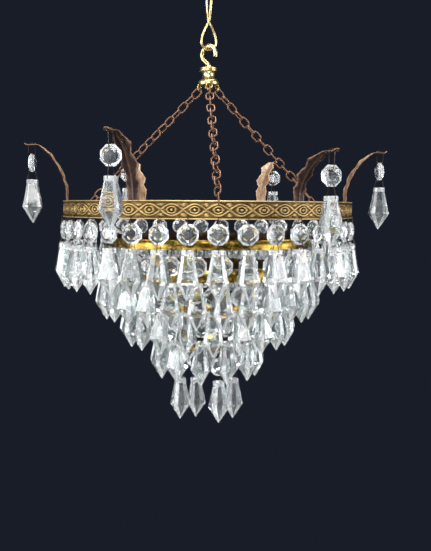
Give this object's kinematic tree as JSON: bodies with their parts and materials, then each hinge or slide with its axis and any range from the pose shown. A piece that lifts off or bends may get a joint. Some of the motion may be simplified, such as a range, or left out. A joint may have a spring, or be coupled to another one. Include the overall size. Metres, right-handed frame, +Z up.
{
  "type": "crystal chandelier",
  "caption": "Small tiered chandelier of hanging crystal drops under a gallery ring with leaf arms, hung on chains from a hook and link.",
  "frame": {"origin": "the point where the ceiling hook bears inside the upper loop of the hanging link", "axes": "+Z up along the chandelier's axis, -Y towards the front chain, +X to the right"},
  "size_m": [0.3355, 0.3015, 0.4027],
  "materials": {
    "polished_brass": "polished",
    "aged_brass": "aged satin",
    "antique_gilt": "antique gilt, embossed",
    "ring_brass": "satin",
    "bronzed_brass": "dark bronzed",
    "crystal": "cut and polished"
  },
  "bodies": {
    "hanging_link": {"hanging_link": "polished_brass"},
    "hook": {"suspension_hook": "polished_brass", "crown_nut": "polished_brass"},
    "frame": {"crown_plate": "polished_brass", "crown_neck": "polished_brass", "crown_flange": "polished_brass", "suspension_chain_1": "aged_brass", "suspension_chain_2": "aged_brass", "suspension_chain_3": "aged_brass", "ring_stay_1": "ring_brass", "ring_stay_2": "ring_brass", "ring_stay_3": "ring_brass", "gallery_band": "antique_gilt", "tier_ring_2": "ring_brass", "tier_ring_3": "ring_brass", "tier_ring_4": "ring_brass", "tier_ring_5": "ring_brass", "tier_crystals_1_back": "crystal", "tier_crystals_1_front": "crystal", "tier_crystals_2_back": "crystal", "tier_crystals_2_front": "crystal", "tier_crystals_3_back": "crystal", "tier_crystals_3_front": "crystal", "tier_crystals_4_back": "crystal", "tier_crystals_4_front": "crystal", "leaf_arm_1": "bronzed_brass", "leaf_arm_2": "bronzed_brass", "leaf_arm_3": "bronzed_brass", "leaf_arm_4": "bronzed_brass", "leaf_arm_5": "bronzed_brass", "leaf_arm_6": "bronzed_brass"},
    "arm_octagon_1": {"arm_octagon_1": "crystal"},
    "arm_drop_1": {"arm_drop_1": "crystal"},
    "arm_octagon_2": {"arm_octagon_2": "crystal"},
    "arm_drop_2": {"arm_drop_2": "crystal"},
    "arm_octagon_3": {"arm_octagon_3": "crystal"},
    "arm_drop_3": {"arm_drop_3": "crystal"},
    "arm_octagon_4": {"arm_octagon_4": "crystal"},
    "arm_drop_4": {"arm_drop_4": "crystal"},
    "arm_octagon_5": {"arm_octagon_5": "crystal"},
    "arm_drop_5": {"arm_drop_5": "crystal"},
    "arm_octagon_6": {"arm_octagon_6": "crystal"},
    "arm_drop_6": {"arm_drop_6": "crystal"},
    "bottom_octagon_1": {"bottom_octagon_1": "crystal"},
    "bottom_drop_1": {"bottom_drop_1": "crystal"},
    "bottom_octagon_2": {"bottom_octagon_2": "crystal"},
    "bottom_drop_2": {"bottom_drop_2": "crystal"},
    "bottom_octagon_3": {"bottom_octagon_3": "crystal"},
    "bottom_drop_3": {"bottom_drop_3": "crystal"},
    "bottom_octagon_4": {"bottom_octagon_4": "crystal"},
    "bottom_drop_4": {"bottom_drop_4": "crystal"}
  },
  "joints": [
    {"name": "hook_swing", "type": "hinge", "parent": "hanging_link", "child": "hook", "pos_m": [0, 0, -0.054], "axis": [0.9703, 0.2419, 0], "range_deg": [-20, 20]},
    {"name": "crown_swivel", "type": "hinge", "parent": "hook", "child": "frame", "pos_m": [0, 0, -0.0775], "axis": [0, 0, 1], "continuous": true},
    {"name": "arm_pin_1", "type": "hinge", "parent": "frame", "child": "arm_octagon_1", "pos_m": [0.1602, 0, -0.1435], "axis": [1, 0, 0], "range_deg": [-30, 30]},
    {"name": "arm_drop_pin_1", "type": "hinge", "parent": "arm_octagon_1", "child": "arm_drop_1", "pos_m": [0.1602, 0, -0.1675], "axis": [1, 0, 0], "range_deg": [-30, 30]},
    {"name": "arm_pin_2", "type": "hinge", "parent": "frame", "child": "arm_octagon_2", "pos_m": [0.0813, 0.14082, -0.145], "axis": [0.5, 0.866, 0], "range_deg": [-30, 30]},
    {"name": "arm_drop_pin_2", "type": "hinge", "parent": "arm_octagon_2", "child": "arm_drop_2", "pos_m": [0.0813, 0.14082, -0.169], "axis": [0.5, 0.866, 0], "range_deg": [-30, 30]},
    {"name": "arm_pin_3", "type": "hinge", "parent": "frame", "child": "arm_octagon_3", "pos_m": [-0.08025, 0.139, -0.1423], "axis": [-0.5, 0.866, 0], "range_deg": [-30, 30]},
    {"name": "arm_drop_pin_3", "type": "hinge", "parent": "arm_octagon_3", "child": "arm_drop_3", "pos_m": [-0.08025, 0.139, -0.1663], "axis": [-0.5, 0.866, 0], "range_deg": [-30, 30]},
    {"name": "arm_pin_4", "type": "hinge", "parent": "frame", "child": "arm_octagon_4", "pos_m": [-0.1589, 0, -0.1398], "axis": [-1, 0, 0], "range_deg": [-30, 30]},
    {"name": "arm_drop_pin_4", "type": "hinge", "parent": "arm_octagon_4", "child": "arm_drop_4", "pos_m": [-0.1589, 0, -0.1628], "axis": [-1, 0, 0], "range_deg": [-30, 30]},
    {"name": "arm_pin_5", "type": "hinge", "parent": "frame", "child": "arm_octagon_5", "pos_m": [-0.0791, -0.137, -0.1394], "axis": [-0.5, -0.866, 0], "range_deg": [-30, 30]},
    {"name": "arm_drop_pin_5", "type": "hinge", "parent": "arm_octagon_5", "child": "arm_drop_5", "pos_m": [-0.0791, -0.137, -0.1644], "axis": [-0.5, -0.866, 0], "range_deg": [-30, 30]},
    {"name": "arm_pin_6", "type": "hinge", "parent": "frame", "child": "arm_octagon_6", "pos_m": [0.0822, -0.14238, -0.1529], "axis": [0.5, -0.866, 0], "range_deg": [-30, 30]},
    {"name": "arm_drop_pin_6", "type": "hinge", "parent": "arm_octagon_6", "child": "arm_drop_6", "pos_m": [0.0822, -0.14238, -0.1779], "axis": [0.5, -0.866, 0], "range_deg": [-30, 30]},
    {"name": "bottom_pin_1", "type": "hinge", "parent": "frame", "child": "bottom_octagon_1", "pos_m": [0.02537, 0.00924, -0.3227], "axis": [0.9397, 0.342, 0], "range_deg": [-8, 8]},
    {"name": "bottom_drop_pin_1", "type": "hinge", "parent": "bottom_octagon_1", "child": "bottom_drop_1", "pos_m": [0.02537, 0.00924, -0.3486], "axis": [0.9397, 0.342, 0], "range_deg": [-8, 8]},
    {"name": "bottom_pin_2", "type": "hinge", "parent": "frame", "child": "bottom_octagon_2", "pos_m": [-0.00924, 0.02537, -0.3227], "axis": [-0.342, 0.9397, 0], "range_deg": [-8, 8]},
    {"name": "bottom_drop_pin_2", "type": "hinge", "parent": "bottom_octagon_2", "child": "bottom_drop_2", "pos_m": [-0.00924, 0.02537, -0.35005], "axis": [-0.342, 0.9397, 0], "range_deg": [-8, 8]},
    {"name": "bottom_pin_3", "type": "hinge", "parent": "frame", "child": "bottom_octagon_3", "pos_m": [-0.02537, -0.00924, -0.3227], "axis": [-0.9397, -0.342, 0], "range_deg": [-8, 8]},
    {"name": "bottom_drop_pin_3", "type": "hinge", "parent": "bottom_octagon_3", "child": "bottom_drop_3", "pos_m": [-0.02537, -0.00924, -0.3458], "axis": [-0.9397, -0.342, 0], "range_deg": [-8, 8]},
    {"name": "bottom_pin_4", "type": "hinge", "parent": "frame", "child": "bottom_octagon_4", "pos_m": [0.00924, -0.02537, -0.3227], "axis": [0.342, -0.9397, 0], "range_deg": [-8, 8]},
    {"name": "bottom_drop_pin_4", "type": "hinge", "parent": "bottom_octagon_4", "child": "bottom_drop_4", "pos_m": [0.00924, -0.02537, -0.3458], "axis": [0.342, -0.9397, 0], "range_deg": [-8, 8]}
  ]
}
